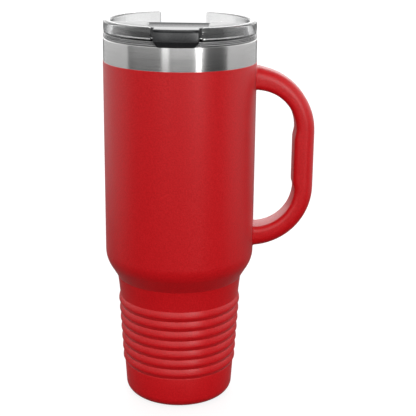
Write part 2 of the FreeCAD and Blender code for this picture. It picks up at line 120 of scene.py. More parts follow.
# ---- lid sizes ----
SEAT_Z = MOUTH_Z + 0.1 * MM
FLANGE_R, FLANGE_TOP = 48.9 * MM, SEAT_Z + 2.8 * MM
RIM_R, RIM_INNER_R, RIM_ROUND = 48.5 * MM, 43.9 * MM, 1.6 * MM
DECK_Z, DECK_THICK = 246.6 * MM, 2.2 * MM
SKIRT_R, SKIRT_WALL = 44.9 * MM, 1.8 * MM
GASKET_GROOVE = 0.9 * MM
NOTCH_HALF, NOTCH_ROUND = 15.3 * MM, 1.5 * MM
SLOT_HALF, SLOT_WIDE, SLOT_Y = 12.0 * MM, 8.4 * MM, -34.0 * MM
VENT_R, VENT_Y = 2.2 * MM, -22.0 * MM
BORE_R, BORE_IN, BORE_OUT = 1.05 * MM, 41.5 * MM, 45.6 * MM
RIM_BULGE, RIM_DRAFT, RIM_FOOT = 0.2 * MM, 0.1 * MM, 0.4 * MM
FLANGE_LINE, FLANGE_LINES = 0.22 * MM, (2.0 * MM, 1.1 * MM)   # groove depth, and heights above the seat
NOTCH_EDGE = 0.7 * MM                        # bevel round both notches
FIN_STARTS = (0.7 * MM, 2.5 * MM)            # heights above the gasket's foot

# ---- flap sizes ----
FLAP_R, FLAP_PLATE, FLAP_EDGE, FLAP_EDGE_Z = 43.5 * MM, 2.2 * MM, 1.8 * MM, 248.0 * MM
BARREL_R, BARREL_HALF = 3.0 * MM, 41.5 * MM
CHANNEL_HALF, CHANNEL_DEEP = 18.5 * MM, 1.0 * MM
TAB_HALF, TAB_IN_R, TAB_OUT_R, TAB_NECK, TAB_CORNER = 13.6 * MM, 49.5 * MM, 51.8 * MM, 4.0 * MM, 2.6 * MM
TAB_LINE, TAB_CREASE = 3.7 * MM, 0.45 * MM   # height of the raised line, and depth of the crease
TAB_CUT_SLOPE = 0.95

# ---- looks: colours are linear, in pairs that fine noise blends ----
RED_GRAIN = ((0.56, 0.0035, 0.0065), (0.67, 0.007, 0.0115))
RED_CLOUD = (0.605, 0.0055, 0.009)
STEEL, LINER_STEEL, PIN_STEEL = (0.575, 0.572, 0.568), (0.58, 0.575, 0.57), (0.66, 0.66, 0.66)
# the middle colour is painted shade: the dark tint the clear plastic takes where seen edge-on, standing in
# for dark refractions at its edges
GLASS, GLASS_PAINTED_EDGE_SHADE, GLASS_SATIN = (0.985, 0.985, 0.985), (0.06, 0.06, 0.063), (0.3, 0.3, 0.305)
SATIN_DEEP, SATIN_SHALLOW = 0.12 * MM, 0.03 * MM   # the flange's outermost skin turns satin over this depth
SMOKE, SMOKE_COLOUR = 35.0, (0.3, 0.31, 0.31, 1)   # absorption density and colour
GREYS = ((0.022, 0.023, 0.024), (0.029, 0.030, 0.032))
SILICONES = ((0.66, 0.67, 0.68), (0.74, 0.75, 0.76))
GETTER_GREYS = ((0.16, 0.16, 0.17), (0.30, 0.30, 0.32))
BEAD_GREENS = ((0.10, 0.12, 0.11), (0.20, 0.22, 0.21))
FLOOR_GREYS = ((0.27, 0.27, 0.27), (0.29, 0.29, 0.29))

# ---- studio: lengths in metres, bearings in degrees from the front and positive to the right ----
PEAK = 4.0                                         # brightest level that a colour ramp has to hold
WALLS = [(-180, 1.95), (-150, 1.4), (-104, 0.65), (-80, 0.65), (-70, 0.9), (-30, 0.86), (-14, 1.2),
         (-10, 1.5), (35, 1.4), (39, 0.36), (64, 0.3), (70, 0.65), (104, 0.7), (150, 1.4), (180, 1.95)]
HEIGHTS = [(0.18, 1.15), (0.30, 1.2), (0.62, 1.2), (0.78, 0.35)]   # rise of a direction, gain on the walls
THROUGH_LID = [(0.12, 0.85), (0.3, 0.08)]          # rise of a direction, level seen through the clear lid
BACKDROP = 1.02
STRIP_AWAY, STRIP_TALL, STRIP_MIDDLE = 1.5, 1.0, 0.6
STRIPS = {"left_strip": (-21.0, 0.27, 1.6), "right_strip": (27.0, 0.16, 10.0)}   # bearing, width, level
PANEL_AWAY, PANEL_TALL, PANEL_GLOW, PANEL_BACK = 0.4, 0.4, 0.5, 0.87
PANEL_FRONT = {-1: -0.085, 1: -0.15}               # front edge of the left and the right panel
FLOOR_BOUNCE, FLOOR_GLOW, FLOOR_THROUGH = 0.01, 0.8, 0.86
FLOOR_REACH = 9.0

# ---- camera ----
CAMERA_PLACE = (0.0, -0.6756, 0.3322)
CAMERA_PITCH, CAMERA_YAW, CAMERA_ROLL = 16.68, 1.609, 0.656
CAMERA_LENS, CAMERA_SENSOR = 91.45, 36.0


# ---- mesh helpers ----
def arc(centre, radius, start_deg, end_deg, steps=12):
    """Points of an arc in (r, z); angles from +r towards +z."""
    points = []
    for index in range(steps + 1):
        angle = math.radians(start_deg + (end_deg - start_deg) * index / steps)
        points.append((centre[0] + radius * math.cos(angle), centre[1] + radius * math.sin(angle)))
    return points


def new_object(name, mesh):
    """Object of that name in the scene."""
    obj = bpy.data.objects.new(name, mesh)
    bpy.context.scene.collection.objects.link(obj)
    return obj


def mesh_from(name, vertices, faces):
    """Mesh with doubled points merged and its faces turned outwards."""
    mesh = bpy.data.meshes.new(name)
    mesh.from_pydata(vertices, [], faces)
    mesh.validate()
    bm = bmesh.new()
    bm.from_mesh(mesh)
    bmesh.ops.remove_doubles(bm, verts=bm.verts, dist=1e-7)
    bmesh.ops.recalc_face_normals(bm, faces=bm.faces)
    bm.to_mesh(mesh)
    bm.free()
    return mesh


def soften(mesh, sharp_deg=32.0):
    """Smooth shading with creases kept where faces meet at more than sharp_deg."""
    mesh.shade_smooth()
    mesh.set_sharp_from_angle(angle=math.radians(sharp_deg))


def lathe(name, outline, segments=SEGMENTS, sharp_deg=32.0):
    """Closed solid of revolution from a closed outline of (r, z) points."""
    vertices, faces, rings = [], [], []
    for radius, height in outline:
        if radius < 1e-9:
            rings.append([len(vertices)] * segments)
            vertices.append((0.0, 0.0, height))
            continue
        first = len(vertices)
        for index in range(segments):
            angle = 2 * math.pi * index / segments
            vertices.append((radius * math.cos(angle), radius * math.sin(angle), height))
        rings.append(list(range(first, first + segments)))
    for here, there in zip(rings, rings[1:] + rings[:1]):
        for index in range(segments):
            after = (index + 1) % segments
            corners = [here[index], here[after], there[after], there[index]]
            corners = list(dict.fromkeys(corners))
            if len(corners) > 2:
                faces.append(corners)
    mesh = mesh_from(name, vertices, faces)
    soften(mesh, sharp_deg)
    return new_object(name, mesh)


def tube(name, rings):
    """Closed solid through rings of points that all have the same count, with flat ends."""
    count = len(rings[0])
    vertices = [point for ring in rings for point in ring]
    faces = []
    for row in range(len(rings) - 1):
        for column in range(count):
            after = (column + 1) % count
            base = row * count
            faces.append([base + column, base + after, base + count + after, base + count + column])
    faces.append(list(range(count)))
    faces.append(list(range(len(vertices) - count, len(vertices))))
    return mesh_from(name, vertices, faces)


def prism(name, outline, low, high, axis="Z"):
    """Closed extrusion: a plan outline along Z, an (x, z) outline along Y, or a (y, z) one along X."""
    if axis == "Z":
        rings = [[(x, y, level) for x, y in outline] for level in (low, high)]
    elif axis == "Y":
        rings = [[(x, level, z) for x, z in outline] for level in (low, high)]
    else:
        rings = [[(level, y, z) for y, z in outline] for level in (low, high)]
    return tube(name, rings)


def bevel_edges(mesh, width, wanted, segments=3):
    """Rounds the edges for which wanted(edge) is true."""
    bm = bmesh.new()
    bm.from_mesh(mesh)
    edges = [edge for edge in bm.edges if len(edge.link_faces) == 2 and wanted(edge)]
    bmesh.ops.bevel(bm, geom=edges, offset=width, offset_type="OFFSET", segments=segments, profile=0.5,
                    affect="EDGES", clamp_overlap=True)
    bm.to_mesh(mesh)
    bm.free()
    return mesh


def sharper_than(degrees):
    """Test for edges whose faces meet at more than the given angle."""
    limit = math.radians(degrees)
    return lambda edge: edge.calc_face_angle(0.0) > limit


def combined(obj, others, operation):
    """Applies one boolean operation of obj with each mesh in others."""
    for other in others:
        tool = new_object("tool", other)
        modifier = obj.modifiers.new("cut", "BOOLEAN")
        modifier.operation = operation
        modifier.solver = "EXACT"
        modifier.object = tool
        bpy.context.view_layer.update()
        graph = bpy.context.evaluated_depsgraph_get()
        result = bpy.data.meshes.new_from_object(obj.evaluated_get(graph))
        obj.modifiers.clear()
        obj.data = result
        bpy.data.objects.remove(tool)
    return obj


def rounded_slot(half_length, width, centre_y, steps=16):
    """Plan outline of a slot with round ends, long along X."""
    reach = half_length - width / 2
    right = [(reach + x, centre_y + y) for x, y in arc((0, 0), width / 2, -90, 90, steps)]
    left = [(-reach + x, centre_y + y) for x, y in arc((0, 0), width / 2, 90, 270, steps)]
    return right + left


# ---- outlines of the cup ----
def rib_height(depth):
    """How far a rib stands out: a swelling face, a round crest and a slanted underside."""
    if depth < RIB_FACE:
        return RIB_HEIGHT * (1 - (1 - depth / RIB_FACE) ** FACE_CURVE)
    if depth < RIB_FACE + RIB_CREST:
        return RIB_HEIGHT * (1 - (1 - UNDERSIDE_START) * ((depth - RIB_FACE) / RIB_CREST) ** CREST_CURVE)
    left = (RIB_PITCH - depth) / (RIB_PITCH - RIB_FACE - RIB_CREST)
    return RIB_HEIGHT * UNDERSIDE_START * left


def rib_points(grow):
    """Outline of all the ribs, moved out by grow."""
    marks = [RIB_FACE * i / 12 for i in range(12)] + [RIB_FACE + RIB_CREST * i / 5 for i in range(5)]
    marks += [RIB_FACE + RIB_CREST, (RIB_FACE + RIB_CREST + RIB_PITCH) / 2]
    points = []
    for rib in range(RIBS):
        for depth in marks:
            fallen = rib * RIB_PITCH + depth
            points.append((GROOVE_R - GROOVE_TAPER * fallen + rib_height(depth) + grow, GROOVE_Z - fallen))
    fallen = RIBS * RIB_PITCH
    points.append((GROOVE_R - GROOVE_TAPER * fallen + grow, GROOVE_Z - fallen))
    return points


def neck_points(grow):
    """From the crease down to the first groove, hollowing slightly before it."""
    drop = CREASE_Z - GROOVE_Z
    points = []
    for step in range(13):
        t = step / 12
        straight = CREASE_R + (GROOVE_R - CREASE_R) * t
        points.append((straight - NECK_HOLLOW * math.sin(math.pi * t) + grow, CREASE_Z - drop * t))
    return points[:-1]


def shoulder_points(grow):
    """Large round between the upright body and the cone that runs in to the crease."""
    angle = math.degrees(math.atan(CONE_SLOPE))
    corner_z = CREASE_Z + (BODY_R - CREASE_R) / CONE_SLOPE
    tangent = SHOULDER_ROUND * math.tan(math.radians(angle / 2))
    turn = arc((BODY_R - SHOULDER_ROUND, corner_z + tangent), SHOULDER_ROUND, 0, -angle, 18)
    return [(radius + grow, height) for radius, height in turn]


def base_points(grow, low_deg, steps=16):
    """Small step out below the ribs, then the base's rounded corner as far as low_deg."""
    last_r = GROOVE_R - GROOVE_TAPER * RIBS * RIB_PITCH
    last_z = GROOVE_Z - RIBS * RIB_PITCH
    step_out = [(last_r + BASE_STEP * t + grow, last_z - BASE_STEP_DROP * t) for t in (0.4, 1.0)]
    corner = arc((BASE_R - BASE_ROUND, BASE_ROUND), BASE_ROUND, 0, low_deg, steps)
    return step_out + [(radius + grow, height) for radius, height in corner]


def cup_outline(grow, low_deg):
    return shoulder_points(grow) + neck_points(grow) + rib_points(grow) + base_points(grow, low_deg)


def liner_outline(grow):
    """Inside of the cup from the throat down to the axis, moved out by grow."""
    inset = COAT + 2 * WALL + GAP - grow
    body_r, crease_r, base_r = BODY_R - inset, CREASE_R - inset, BASE_R - inset
    floor_z, corner = FLOOR_Z - grow, FLOOR_ROUND + grow
    shoulder_z = CREASE_Z + (BODY_R - CREASE_R) / CONE_SLOPE
    throat_low = THROAT_Z - 2 * (MOUTH_R - body_r + grow)
    return [(MOUTH_R + grow, THROAT_Z), (body_r, throat_low), (body_r, shoulder_z + 2 * MM),
            (body_r - 0.4 * MM, shoulder_z), (crease_r + 0.3 * MM, CREASE_Z + 1.2 * MM),
            (crease_r, CREASE_Z - 1.0 * MM),
            *arc((base_r - corner, floor_z + corner), corner, 0, -90, 14), (0.0, floor_z)]


# ---- cup pieces ----
def powder_coat():
    inner = [(SHELL_R + COAT_SKIN, COAT_TOP)] + cup_outline(COAT_SKIN - COAT, COAT_END)
    top = [inner[0], (BODY_R - COAT_EDGE, COAT_TOP), (BODY_R, COAT_TOP - COAT_EDGE)]
    outline = top + cup_outline(0.0, COAT_END) + inner[:0:-1]
    return lathe("coat", outline, sharp_deg=22)


def outer_shell():
    outer = arc((SHELL_R - LIP, MOUTH_Z - LIP), LIP, 90, 0, 8)
    outer += [(SHELL_R, COAT_TOP)] + cup_outline(-COAT, -90)
    inner = [(SHELL_R - WALL, MOUTH_Z)] + cup_outline(-COAT - WALL, SHELL_INNER_END)
    foot = [(FOOT_R, 0.0), (FOOT_R, inner[-1][1])]
    return lathe("shell", outer + foot + inner[::-1])


def inner_vessel():
    weld_r = SHELL_R - WALL
    outer = [(weld_r, MOUTH_Z - LIP_WELD), (MOUTH_R + WALL, MOUTH_Z - THROAT_WELD)] + liner_outline(WALL)
    inner = liner_outline(0.0)[::-1]
    mouth = arc((MOUTH_R + LIP, MOUTH_Z - LIP), LIP, 180, 90, 8)
    return lathe("liner", outer + inner + mouth + [(weld_r, MOUTH_Z)])


def base_plate():
    flange, step_r, lift = PLATE_FLANGE_Z, FOOT_R - PLATE_FLANGE, PLATE_LIFT
    outline = [(FOOT_R, flange), (step_r, flange), (step_r - 0.5 * MM, flange + 0.2 * MM),
               (step_r - 1.2 * MM, lift - 0.2 * MM), (step_r - 1.8 * MM, lift),
               (PORT_R, lift), (PORT_R, lift + WALL),
               (step_r - 1.5 * MM, lift + WALL), (step_r + 0.4 * MM, flange + WALL), (FOOT_R, flange + WALL)]
    return lathe("base_disc", outline, 192)


# ---- handle ----
def top_arc(reach, radius, slope, root_z, steps):
    """Upper arm line: straight fall from the root, then an arc down to upright."""
    root_r = BODY_R - ROOT_IN
    centre_r = reach - radius
    touch_r = centre_r + radius * math.sin(slope)
    touch_z = root_z - (touch_r - root_r) * math.tan(slope)
    centre = (centre_r, touch_z - radius * math.cos(slope))
    start = 90 - math.degrees(slope)
    straight = [(root_r + (touch_r - root_r) * t, root_z - (touch_r - root_r) * t * math.tan(slope))
                for t in (i / steps for i in range(steps))]
    return straight + arc(centre, radius, start, 0, 2 * steps), centre[1]


def low_arc(reach, radius, low_z, steps):
    """Lower arm line: an arc from upright, then level to the root unless the arc reaches it first."""
    root_r = BODY_R - ROOT_IN
    centre = (reach - radius, low_z + radius)
    if centre[0] <= root_r:
        end = -90 - math.degrees(math.asin((centre[0] - root_r) / radius))
        return arc(centre, radius, 0, end, 3 * steps), centre[1]
    turn = arc(centre, radius, 0, -90, 2 * steps)
    turn += [(centre[0] + (root_r - centre[0]) * i / steps, low_z) for i in range(1, steps + 1)]
    return turn, centre[1]


def swell(z, top_z, low_z):
    """Extra depth of the grip at height z, fading out smoothly at both ends."""
    rise = min(max((top_z - z) / SWELL_TOP, 0.0), 1.0)
    fall = min(max((z - low_z) / SWELL_LOW, 0.0), 1.0)
    smooth = [t * t * (3 - 2 * t) for t in (rise, fall)]
    return (GRIP_DEPTH - ARM_DEPTH) * min(smooth)


def handle_lines(steps=10, grip_steps=26):
    """Matching points of the outward and the finger-side outline, from the upper root to the lower."""
    outer_top, outer_top_z = top_arc(REACH, TOP_ROUND, TOP_SLOPE, TOP_ROOT_Z, steps)
    outer_low, outer_low_z = low_arc(REACH, LOW_ROUND, LOW_Z, steps)
    inner_top, inner_top_z = top_arc(REACH - ARM_DEPTH, GAP_ROUND, GAP_SLOPE, GAP_ROOT_Z, steps)
    inner_low, inner_low_z = low_arc(REACH - ARM_DEPTH, GAP_LOW_ROUND, GAP_LOW_Z, steps)
    outer_grip, inner_grip = [], []
    for index in range(1, grip_steps):
        t = index / grip_steps
        outer_grip.append((REACH, outer_top_z + (outer_low_z - outer_top_z) * t))
        z = inner_top_z + (inner_low_z - inner_top_z) * t
        inner_grip.append((REACH - ARM_DEPTH - swell(z, inner_top_z, inner_low_z), z))
    return outer_top + outer_grip + outer_low, inner_top + inner_grip + inner_low


def section(depth, half, steps=7):
    """Rounded section: (across from finger side to outside, along Y), all round once."""
    corners = [((depth - OUTER_EDGE, half - OUTER_EDGE), OUTER_EDGE, 90, 0),
               ((depth - OUTER_EDGE, -half + OUTER_EDGE), OUTER_EDGE, 0, -90),
               ((INNER_EDGE, -half + INNER_EDGE), INNER_EDGE, -90, -180),
               ((INNER_EDGE, half - INNER_EDGE), INNER_EDGE, 180, 90)]
    return [point for corner in corners for point in arc(*corner, steps)]


def handle():
    """Seamless hollow-steel handle with a small weld fillet where each arm meets the body."""
    outer, inner = handle_lines()
    rings = []
    for (outer_r, outer_z), (inner_r, inner_z) in zip(outer, inner):
        depth = math.hypot(outer_r - inner_r, outer_z - inner_z)
        across = ((outer_r - inner_r) / depth, (outer_z - inner_z) / depth)
        ring = []
        for along, side in section(depth, HANDLE_HALF):
            ring.append(Vector((inner_r + across[0] * along, side, inner_z + across[1] * along)))
        rings.append(ring)
    rings = [welded(ring) for ring in trimmed(rings)]
    mesh = tube("handle", rings)
    soften(mesh, 40)
    return new_object("handle", mesh)


def trimmed(rings):
    """Keeps the rings outside the body and ends both arms on its round surface."""
    inside = BODY_R - TRIM_IN
    keep = [ring for ring in rings if min(math.hypot(p.x, p.y) for p in ring) > BODY_R + TRIM_OUT]
    ends = []
    for ring in (keep[0], keep[-1]):
        steps = []
        for share in LANDINGS:
            steps.append([landed(point, inside, share) for point in ring])
        ends.append(steps)
    return ends[0] + keep + ends[1][::-1]


def landed(point, radius, share):
    """The point moved towards where it meets the body along X, by the given share of the way."""
    target = math.sqrt(max(radius ** 2 - point.y ** 2, 0.0))
    return Vector((point.x + (target - point.x) * share, point.y, point.z))


def welded(ring):
    """Spreads a ring outwards where it is close to the body."""
    centre = sum(ring, Vector()) / len(ring)
    spread = []
    for point in ring:
        near = max(math.hypot(point.x, point.y) - BODY_R, 0.0)
        if near >= WELD:
            spread.append(point)
            continue
        away = Vector((0.0, point.y - centre.y, point.z - centre.z)).normalized()
        flare = WELD - math.sqrt(WELD ** 2 - (WELD - near) ** 2)
        spread.append(point + away * flare * WELD_FULLNESS)
    return spread


# ---- lid pieces ----
def lid_outline():
    """Half section of the lid: deck, raised rim, grooved seat flange, and skirt with its gasket groove."""
    skirt_in = SKIRT_R - SKIRT_WALL
    groove_r = SKIRT_R - GASKET_GROOVE
    line = FLANGE_LINE
    top = LID_TOP - RIM_ROUND
    foot_round = 0.8 * MM
    outline = [(0.0, DECK_Z)]
    outline += arc((RIM_INNER_R - foot_round, DECK_Z + foot_round), foot_round, -90, 0, 6)
    outline += arc((RIM_INNER_R + RIM_ROUND, top), RIM_ROUND, 180, 90, 10)
    outline += arc((RIM_R - RIM_ROUND, top), RIM_ROUND, 90, 0, 10)
    bulge_low = FLANGE_TOP + RIM_FOOT
    for step in range(1, 9):
        t = step / 8
        radius = RIM_R + RIM_BULGE * math.sin(math.pi * t) - RIM_DRAFT * t
        outline.append((radius, top + (bulge_low - top) * t))
    outline += arc((FLANGE_R - 0.4 * MM, FLANGE_TOP - 0.3 * MM), 0.4 * MM, 60, 0, 4)
    for level in FLANGE_LINES:
        z = SEAT_Z + level
        outline += [(FLANGE_R, z + line), (FLANGE_R - line, z), (FLANGE_R, z - line)]
    outline += [(FLANGE_R, SEAT_Z + 0.3 * MM), (FLANGE_R - 0.3 * MM, SEAT_Z), (SKIRT_R, SEAT_Z)]
    outline += [(SKIRT_R, gasket_high.z), (groove_r, gasket_high.z), (groove_r, gasket_low.z),
                (SKIRT_R, gasket_low.z), (SKIRT_R, LID_LOW + 0.8 * MM), (SKIRT_R - 0.8 * MM, LID_LOW),
                (skirt_in, LID_LOW)]
    under = DECK_Z - DECK_THICK
    outline += arc((skirt_in - 1.2 * MM, under - 1.2 * MM), 1.2 * MM, 0, 90, 5)
    return outline + [(0.0, under)]


def notch_mesh(side):
    """Cutter for one rim notch with rounded shoulders; side is -1 for the front and +1 for the back."""
    wide, above = NOTCH_HALF + NOTCH_ROUND, LID_TOP + 1 * MM
    shoulder = LID_TOP - NOTCH_ROUND
    right = [(NOTCH_HALF, DECK_Z)] + arc((wide, shoulder), NOTCH_ROUND, 180, 90, 8)
    right.append((wide + 1 * MM, LID_TOP))
    outline = right + [(wide + 1 * MM, above), (-wide - 1 * MM, above)] + [(-x, z) for x, z in right[::-1]]
    low, high = sorted((side * (RIM_INNER_R - 8 * MM), side * (FLANGE_R + 2 * MM)))
    return prism("notch", outline, low, high, "Y")


def in_notch(edge):
    """Edges of the cut notch walls that a hand would feel."""
    middle = (edge.verts[0].co + edge.verts[1].co) / 2
    beside = NOTCH_HALF - 0.1 * MM < abs(middle.x) < NOTCH_HALF + NOTCH_ROUND + 0.1 * MM
    return beside and middle.z > DECK_Z + 0.2 * MM and edge.calc_face_angle(0.0) > math.radians(40)


def lid():
    body = lathe("lid", lid_outline(), 240)
    below, above = DECK_Z - DECK_THICK - 1 * MM, DECK_Z + 1 * MM
    slot = prism("slot", rounded_slot(SLOT_HALF, SLOT_WIDE, SLOT_Y), below, above)
    vent = prism("vent", [(x, VENT_Y + y) for x, y in arc((0, 0), VENT_R, 0, 345, 23)], below, above)
    bore = [(HINGE_Y + y, HINGE_Z + z) for y, z in arc((0, 0), BORE_R, 0, 345, 23)]
    bores = [prism("bore", bore, -BORE_OUT, -BORE_IN, "X"), prism("bore", bore, BORE_IN, BORE_OUT, "X")]
    combined(body, [notch_mesh(-1), notch_mesh(1), slot, vent] + bores, "DIFFERENCE")
    bevel_edges(body.data, NOTCH_EDGE, in_notch)
    soften(body.data, 30)
    return body


def gasket():
    root_r, band_r, fin_r = SKIRT_R - GASKET_GROOVE, SKIRT_R + 0.2 * MM, MOUTH_R - 0.25 * MM
    low, high = gasket_low.z, gasket_high.z
    outline = [(root_r, low), (band_r, low)]
    for start in FIN_STARTS:
        z = low + start
        outline += [(band_r, z), (fin_r - 0.25 * MM, z + 0.4 * MM), (fin_r, z + 0.65 * MM),
                    (fin_r - 0.15 * MM, z + 0.9 * MM), (band_r, z + 1.0 * MM)]
    return lathe("gasket", outline + [(band_r, high), (root_r, high)], 192, 50)


# ---- flap ----
def half_moon(radius, back_y, steps=72):
    """Plan outline of the part of a disc in front of a straight back edge."""
    start = math.degrees(math.asin(back_y / radius))
    return [(x, y) for x, y in arc((0, 0), radius, start, -180 - start, steps)]


def flap_tab():
    """Lift tab: neck, face with a crease near the top and a raised line low down, and cut lower corners."""
    top, low = FLAP_TOP, TAB_LOW
    face = TAB_OUT_R - 0.3 * MM
    inner_start = FLAP_R - 4 * MM
    line_z = low + TAB_LINE
    points = [(inner_start, top)] + arc((face - 0.8 * MM, top - 0.8 * MM), 0.8 * MM, 90, 0, 6)
    points += [(face - TAB_CREASE, top - 1.1 * MM), (face - TAB_CREASE, top - 1.5 * MM),
               (face - 0.1 * MM, top - 1.8 * MM), (face, top - 2.2 * MM)]
    points += [(face, line_z + 0.5 * MM), (TAB_OUT_R, line_z + 0.15 * MM), (TAB_OUT_R, line_z - 0.2 * MM),
               (face - 0.05 * MM, line_z - 0.5 * MM)]
    points += [(face - 0.7 * MM, low + 0.9 * MM), (face - 1.1 * MM, low + 0.3 * MM), (face - 1.5 * MM, low)]
    points += [(TAB_IN_R + 0.3 * MM, low), (TAB_IN_R, low + 0.3 * MM), (TAB_IN_R, top - TAB_NECK),
               (inner_start, top - TAB_NECK)]
    columns = 24
    rings = []
    for column in range(columns + 1):
        share = 2 * column / columns - 1
        ring = []
        for radius, z in points:
            cut = max(low + TAB_CORNER - z, 0.0) * TAB_CUT_SLOPE
            x = share * (TAB_HALF - cut)
            ring.append((x, -math.sqrt(radius ** 2 - x ** 2), z))
        rings.append(ring)
    mesh = tube("tab", rings)
    at_end = TAB_HALF - TAB_CORNER - 0.1 * MM

    def end_edge(edge):
        return all(abs(v.co.x) > at_end for v in edge.verts) and edge.calc_face_angle(0.0) > math.radians(50)

    return bevel_edges(mesh, 0.4 * MM, end_edge)


def flap():
    """Half-moon cover with a downturned edge, a shallow channel, the hinge barrel and the lift tab."""
    back_y = HINGE_Y - 1 * MM
    block = prism("flap", half_moon(FLAP_R, back_y), FLAP_EDGE_Z, FLAP_TOP)
    bevel_edges(block, 0.6 * MM, sharper_than(40))
    pocket = prism("pocket", half_moon(FLAP_R - FLAP_EDGE, back_y + 1e-4), FLAP_EDGE_Z - 1 * MM,
                   FLAP_TOP - FLAP_PLATE)
    slope = 1.1 * MM
    deep, above = FLAP_TOP - CHANNEL_DEEP, FLAP_TOP + 1 * MM
    wide = CHANNEL_HALF + slope * 2
    channel = prism("channel", [(-CHANNEL_HALF, deep), (CHANNEL_HALF, deep), (wide, above), (-wide, above)],
                    -FLAP_R + 5 * MM, HINGE_Y + BARREL_R, "Y")
    barrel = prism("barrel", [(HINGE_Y + y, HINGE_Z + z) for y, z in arc((0, 0), BARREL_R, 0, 352.5, 47)],
                   -BARREL_HALF, BARREL_HALF, "X")
    bevel_edges(barrel, 0.4 * MM, sharper_than(40))
    web = prism("web", [(HINGE_Y - BARREL_R + 0.4 * MM, HINGE_Z), (HINGE_Y - 1.2 * MM, HINGE_Z),
                        (HINGE_Y - 1.2 * MM, FLAP_TOP - FLAP_PLATE / 2),
                        (HINGE_Y - BARREL_R + 0.4 * MM, FLAP_TOP - FLAP_PLATE / 2)],
                -BARREL_HALF + 0.5 * MM, BARREL_HALF - 0.5 * MM, "X")
    obj = new_object("flap_cover", block)
    combined(obj, [pocket, channel], "DIFFERENCE")
    combined(obj, [web, barrel, flap_tab()], "UNION")
    soften(obj.data, 35)
    return obj


def turned(obj):
    """Turns a lid piece to the angle at which the lid sits in the mouth."""
    obj.data.transform(Matrix.Rotation(LID_TURN, 4, "Z"))
    return obj


# ---- materials ----
class Look:
    """One procedural material and short ways to add nodes to it."""

    def __init__(self, name, **sockets):
        self.material = bpy.data.materials.new(name)
        self.material.use_nodes = True
        self.nodes = self.material.node_tree.nodes
        self.links = self.material.node_tree.links
        self.shader = self.nodes["Principled BSDF"]
        self.place = self.nodes.new("ShaderNodeTexCoord").outputs["Object"]
        for label, value in sockets.items():
            self.shader.inputs[label.replace("_", " ")].default_value = value

    def noise(self, scale, detail=2.0, stretch=(1, 1, 1)):
        """Noise laid over the piece's own space, drawn out by stretch."""
        mapping = self.nodes.new("ShaderNodeMapping")
        mapping.inputs["Scale"].default_value = stretch
        self.links.new(self.place, mapping.inputs["Vector"])
        texture = self.nodes.new("ShaderNodeTexNoise")
        texture.inputs["Scale"].default_value = scale
        texture.inputs["Detail"].default_value = detail
        self.links.new(mapping.outputs["Vector"], texture.inputs["Vector"])
        return texture.outputs["Fac"]

    def between(self, factor, low, high, start=0.3, end=0.7):
        """Maps a factor onto the range low to high."""
        node = self.nodes.new("ShaderNodeMapRange")
        node.inputs["From Min"].default_value = start
        node.inputs["From Max"].default_value = end
        node.inputs["To Min"].default_value = low
        node.inputs["To Max"].default_value = high
        self.links.new(factor, node.inputs["Value"])
        return node.outputs["Result"]

    def mixed(self, factor, first, second):
        """Blends two colours, or an earlier colour output with one."""
        node = self.nodes.new("ShaderNodeMix")
        node.data_type = "RGBA"
        self.links.new(factor, node.inputs["Factor"])
        for socket, colour in ((node.inputs["A"], first), (node.inputs["B"], second)):
            if isinstance(colour, tuple):
                socket.default_value = (*colour, 1.0)
            else:
                self.links.new(colour, socket)
        return node.outputs["Result"]

    def bump(self, height, distance, strength):
        """Raises the surface by the height output."""
        node = self.nodes.new("ShaderNodeBump")
        node.inputs["Distance"].default_value = distance
        node.inputs["Strength"].default_value = strength
        self.links.new(height, node.inputs["Height"])
        self.feed("Normal", node.outputs["Normal"])

    def clear_inside(self, inner_r, outer_r):
        """Mask that is 1 nearer the axis than inner_r and breaks into level streaks beyond outer_r."""
        flat = self.nodes.new("ShaderNodeVectorMath")
        flat.operation = "MULTIPLY"
        flat.inputs[1].default_value = (1, 1, 0)
        self.links.new(self.place, flat.inputs[0])
        radius = self.nodes.new("ShaderNodeVectorMath")
        radius.operation = "LENGTH"
        self.links.new(flat.outputs["Vector"], radius.inputs[0])
        larger = self.nodes.new("ShaderNodeMath")
        larger.operation = "MAXIMUM"
        self.links.new(self.between(radius.outputs["Value"], 1.0, 0.0, inner_r, outer_r), larger.inputs[0])
        streaks = self.noise(1.0, 2.0, (50, 50, 1400))
        self.links.new(self.between(streaks, 0.35, 0.75), larger.inputs[1])
        return larger.outputs[0]

    def feed(self, label, output):
        """Leads an output to the shader's socket of that name."""
        self.links.new(output, self.shader.inputs[label])


def powder_look():
    """Red powder coat: fine grain in colour, gloss and height, with a soft sheen at the edges."""
    look = Look("red_powder_coat", IOR=1.5, Specular_IOR_Level=0.42, Sheen_Weight=0.17, Sheen_Roughness=0.35)
    grain = look.noise(1100, 3.0)
    cloud = look.noise(45, 2.0)
    speck = look.mixed(look.between(grain, 0, 1, 0.35, 0.65), *RED_GRAIN)
    look.feed("Base Color", look.mixed(look.between(cloud, 0, 0.35), speck, RED_CLOUD))
    look.feed("Roughness", look.between(grain, 0.32, 0.42))
    look.bump(grain, 0.00012, 0.8)
    return look.material


def steel_look(name, colour, rough, line_scale=3200, brush=0.75):
    """Steel brushed round the axis: fine level lines, and highlights drawn out along the height."""
    look = Look(name, Metallic=1.0, Anisotropic=brush, Anisotropic_Rotation=0.25)
    tangent = look.nodes.new("ShaderNodeTangent")
    tangent.direction_type = "RADIAL"
    tangent.axis = "Z"
    look.feed("Tangent", tangent.outputs["Tangent"])
    lines = look.noise(1.0, 3.0, (55, 55, line_scale))
    broad = look.noise(1.0, 2.0, (14, 14, 420))
    dark, light = tuple(c * 0.97 for c in colour), tuple(c * 1.03 for c in colour)
    tint = look.mixed(look.between(lines, 0, 1), dark, light)
    look.feed("Base Color", look.mixed(look.between(broad, 0, 0.4), tint, tuple(c * 0.98 for c in colour)))
    look.feed("Roughness", look.between(lines, rough - 0.03, rough + 0.05))
    look.bump(lines, 0.000006, 0.3)
    return look.material


